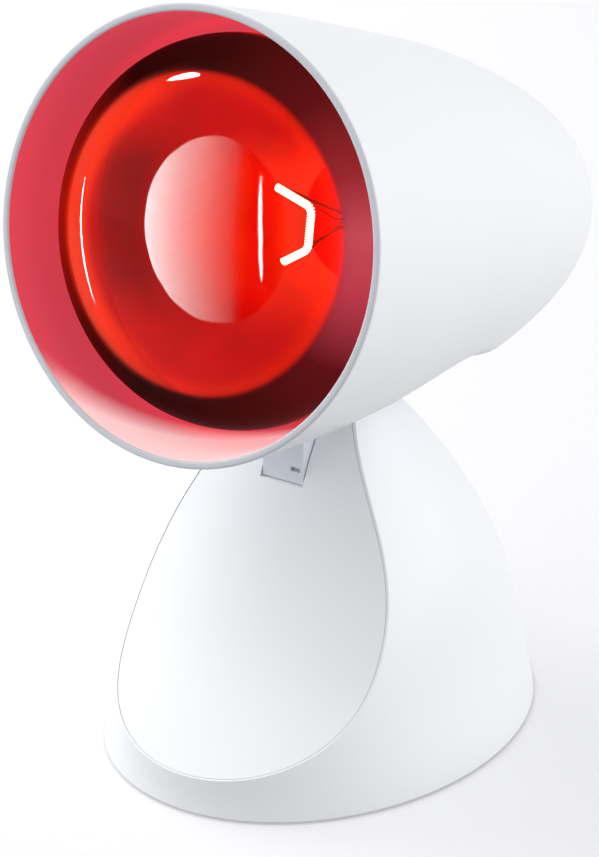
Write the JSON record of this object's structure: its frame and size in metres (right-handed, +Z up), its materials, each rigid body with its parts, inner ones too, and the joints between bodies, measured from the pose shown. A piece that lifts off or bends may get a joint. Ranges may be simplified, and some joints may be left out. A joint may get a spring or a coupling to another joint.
{
  "type": "infrared heat lamp",
  "caption": "Table-top infrared heat lamp: bullet-shaped white head with a red reflector bulb, tilting in click stops on a domed stand with a concave front panel.",
  "frame": {"origin": "on the table, under the middle of the oval foot", "axes": "+Z up, -Y the way the lamp faces, +X to the right seen from the front"},
  "size_m": [0.1086, 0.1748, 0.2023],
  "materials": {
    "white_housing": "glossy white moulded plastic",
    "white_arm": "satin white moulded plastic",
    "dark_plastic": "fine matt black plastic",
    "base_plastic": "fine matt pale grey plastic",
    "foot_rubber": "soft matt rubber",
    "screw_steel": "zinc plated steel",
    "spring_steel": "bright spring steel",
    "ruby_glass": "ruby red pressed glass",
    "clear_glass": "clear glass",
    "bulb_silver": "vapour deposited aluminium mirror",
    "cap_metal": "rolled aluminium",
    "black_glass": "black vitrite insulation",
    "contact_metal": "plain brass",
    "filament_metal": "glowing tungsten coil",
    "lead_metal": "drawn nickel wire",
    "holder_ceramic": "unglazed steatite"
  },
  "bodies": {
    "stand": {"stand_rear_shell": "white_housing", "stand_front_cover": "white_housing", "base_plate": "base_plastic", "rubber_feet": "foot_rubber", "base_screws": "screw_steel", "cord_grommet": "dark_plastic", "switch_housing": "dark_plastic", "terminal_block": "base_plastic", "pivot_chassis": "base_plastic", "chassis_screws": "screw_steel", "pivot_bolt": "screw_steel", "pivot_nut": "screw_steel", "friction_washers": "spring_steel", "detent_spring": "spring_steel", "spring_screw": "screw_steel"},
    "head": {"tilt_arm": "white_arm", "arm_screws": "screw_steel", "head_shell": "white_housing", "rear_vent_cap": "white_housing", "bulb_glass": "ruby_glass", "bulb_mirror": "bulb_silver", "bulb_screw_cap": "cap_metal", "bulb_insulator": "black_glass", "bulb_contact": "contact_metal", "bulb_stem": "clear_glass", "filament_leads": "lead_metal", "filament_supports": "lead_metal", "filament": "filament_metal", "lampholder_body": "holder_ceramic", "lampholder_sleeve": "contact_metal", "lampholder_contact": "contact_metal", "lampholder_bracket": "spring_steel", "bracket_screws": "screw_steel", "holder_screws": "screw_steel"},
    "rocker": {"switch_rocker": "dark_plastic"}
  },
  "joints": [
    {"name": "head_tilt", "type": "hinge", "parent": "stand", "child": "head", "pos_m": [0, 0.008, 0.054], "axis": [-1, 0, 0], "range_deg": [0, 32]},
    {"name": "switch_rock", "type": "hinge", "parent": "stand", "child": "rocker", "pos_m": [0, 0.05725, 0.03282], "axis": [0, -0.3484, 0.9373], "range_deg": [-12, 0]}
  ]
}
